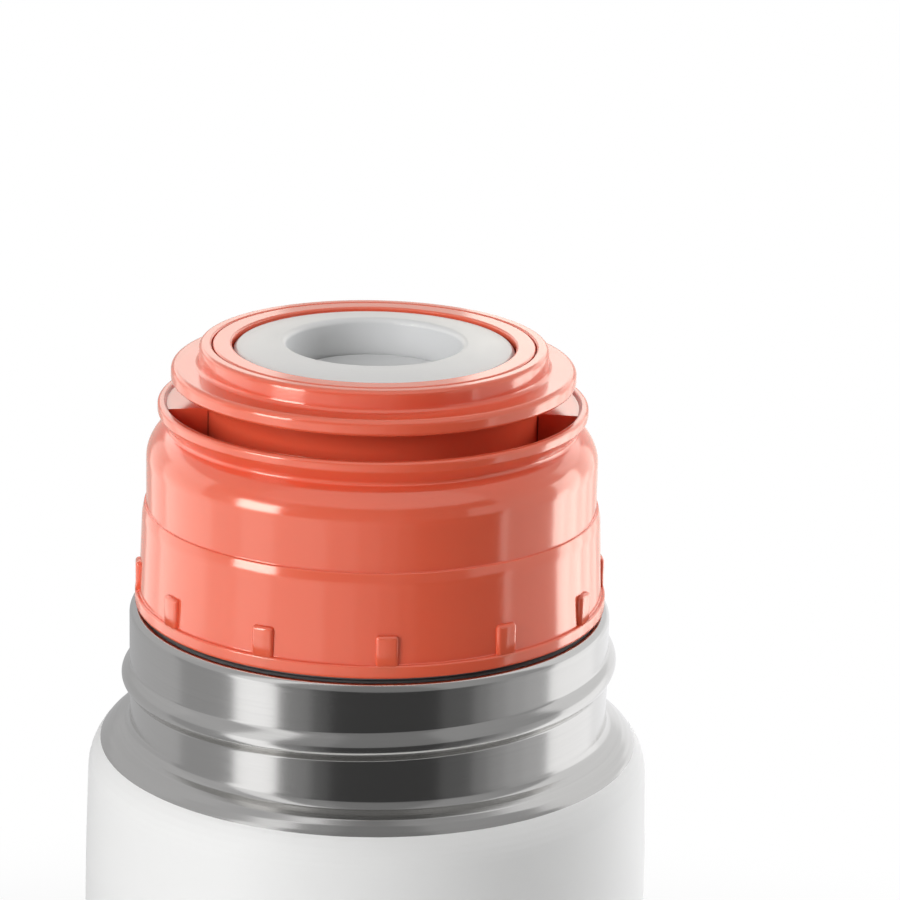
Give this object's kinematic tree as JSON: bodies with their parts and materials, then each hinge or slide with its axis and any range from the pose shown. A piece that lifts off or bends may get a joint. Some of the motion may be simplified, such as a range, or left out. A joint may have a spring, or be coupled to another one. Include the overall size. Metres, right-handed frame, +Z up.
{
  "type": "vacuum flask with push-button pouring stopper",
  "caption": "Slim double-walled vacuum flask with a threaded steel neck and a screw-in pouring stopper whose sprung centre button opens a valve.",
  "frame": {"origin": "centre of the foot, on the surface that the flask stands on", "axes": "+Z up along the flask's axis, front of the flask towards -Y"},
  "size_m": [0.0748, 0.0748, 0.2249],
  "materials": {
    "bare_steel": "satin turned",
    "white_paint": "satin powder coat",
    "copper_foil": "bright foil",
    "getter_alloy": "sintered",
    "grey_silicone": "matte",
    "clear_silicone": "satin",
    "coral_plastic": "gloss",
    "grey_plastic": "satin",
    "pale_plastic": "satin",
    "spring_steel": "bright drawn"
  },
  "bodies": {
    "flask": {"neck_shell": "bare_steel", "outer_body": "white_paint", "inner_vessel": "bare_steel", "radiation_foil": "copper_foil", "outer_base": "bare_steel", "vacuum_seal": "bare_steel", "getter": "getter_alloy", "base_pad": "grey_silicone"},
    "seal": {"neck_gasket": "grey_silicone"},
    "stopper": {"stopper_shell": "coral_plastic", "stopper_plug": "pale_plastic", "shell_seal": "clear_silicone", "top_cap": "coral_plastic", "collar_ring": "coral_plastic", "bezel_ring": "grey_plastic", "stem_o_ring": "clear_silicone", "gland_washer": "pale_plastic", "return_spring": "spring_steel"},
    "button": {"push_button": "grey_plastic", "valve_stem": "pale_plastic", "stem_clip": "spring_steel", "valve_disc": "pale_plastic", "valve_seal": "clear_silicone", "valve_screw": "spring_steel"}
  },
  "joints": [
    {"name": "stopper_lift", "type": "slide", "parent": "flask", "child": "seal", "axis": [0, 0, 1], "range_m": [0, 0.0276]},
    {"name": "stopper_turn", "type": "hinge", "parent": "seal", "child": "stopper", "pos_m": [0, 0, 0.19], "axis": [0, 0, 1], "range_deg": [0, 1800]},
    {"name": "button_press", "type": "slide", "parent": "stopper", "child": "button", "axis": [0, 0, -1], "range_m": [0, 0.005], "stiffness_N_per_m": 600, "springref_m": -0.008, "deforming": ["return_spring"]}
  ],
  "couplings": [
    {"joint": "stopper_lift", "follows": "stopper_turn", "m_per_rad": 0.00087535}
  ]
}
